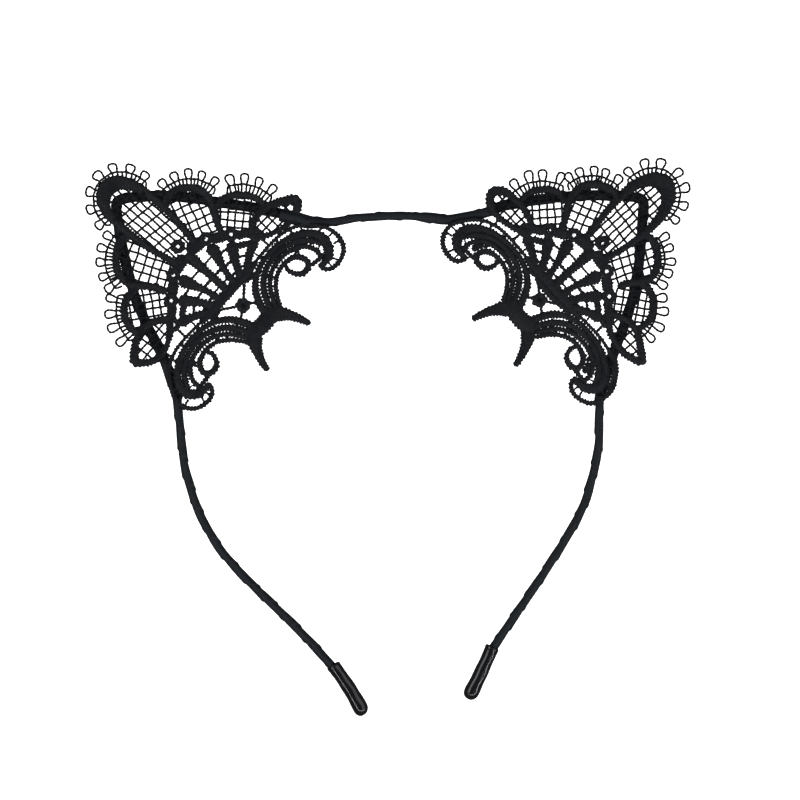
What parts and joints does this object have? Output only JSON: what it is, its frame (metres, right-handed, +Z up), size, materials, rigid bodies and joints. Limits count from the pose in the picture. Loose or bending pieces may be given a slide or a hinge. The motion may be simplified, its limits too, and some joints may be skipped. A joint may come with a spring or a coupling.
{
  "type": "animal ears headband",
  "caption": "Ribbon-wrapped spring-wire headband bent into two cat ears, each fronted with a black embroidered lace motif, with soft rounded caps on the wire ends.",
  "frame": {"origin": "underside of the wrapped wire at the middle of the crown, where it sits on the head", "axes": "+X along the width of the headband, from the left ear as seen from the front to the right one; +Y from the lace front to the plain back; +Z up, towards the ear tips"},
  "size_m": [0.2009, 0.0057, 0.1838],
  "materials": {
    "spring_steel": "bright drawn wire",
    "satin_ribbon": "black satin ribbon, wound on a slant, soft slate sheen",
    "guipure_lace": "black satin-stitched rayon embroidery, matt",
    "lace_thread": "fine black twisted thread",
    "sewing_thread": "black polyester sewing thread",
    "end_cap": "dipped soft black vinyl, high gloss"
  },
  "bodies": {
    "crown": {"crown_wire": "spring_steel", "crown_ribbon": "satin_ribbon"},
    "left_ear": {"left_ear_wire": "spring_steel", "left_ear_ribbon": "satin_ribbon", "left_lace_petals": "guipure_lace", "left_lace_net": "lace_thread", "left_lace_fan": "guipure_lace", "left_lace_picots": "lace_thread", "left_lace_scrolls": "guipure_lace", "left_lace_curls": "guipure_lace", "left_lace_rosette": "guipure_lace", "left_lace_horns": "guipure_lace", "left_stitches": "sewing_thread"},
    "right_ear": {"right_ear_wire": "spring_steel", "right_ear_ribbon": "satin_ribbon", "right_lace_petals": "guipure_lace", "right_lace_net": "lace_thread", "right_lace_fan": "guipure_lace", "right_lace_picots": "lace_thread", "right_lace_scrolls": "guipure_lace", "right_lace_curls": "guipure_lace", "right_lace_rosette": "guipure_lace", "right_lace_horns": "guipure_lace", "right_stitches": "sewing_thread"},
    "left_leg": {"left_leg_wire": "spring_steel", "left_leg_ribbon": "satin_ribbon", "left_end_cap": "end_cap"},
    "right_leg": {"right_leg_wire": "spring_steel", "right_leg_ribbon": "satin_ribbon", "right_end_cap": "end_cap"}
  },
  "joints": [
    {"name": "left_ear_flex", "type": "hinge", "parent": "crown", "child": "left_ear", "pos_m": [-0.0297, 0, 0.0005], "axis": [0, 1, 0], "range_deg": [-2, 8], "stiffness_Nm_per_rad": 0.5},
    {"name": "right_ear_flex", "type": "hinge", "parent": "crown", "child": "right_ear", "pos_m": [0.0299, 0, 0.0023], "axis": [0, -1, 0], "range_deg": [-2, 8], "stiffness_Nm_per_rad": 0.5},
    {"name": "left_leg_flex", "type": "hinge", "parent": "left_ear", "child": "left_leg", "pos_m": [-0.0702, 0, -0.059], "axis": [0, 1, 0], "range_deg": [-2.5, 10], "stiffness_Nm_per_rad": 0.4},
    {"name": "right_leg_flex", "type": "hinge", "parent": "right_ear", "child": "right_leg", "pos_m": [0.0692, 0, -0.059], "axis": [0, -1, 0], "range_deg": [-2.5, 10], "stiffness_Nm_per_rad": 0.4}
  ],
  "couplings": [
    {"joint": "left_leg_flex", "follows": "left_ear_flex", "ratio": 1.25},
    {"joint": "right_leg_flex", "follows": "right_ear_flex", "ratio": 1.25}
  ]
}
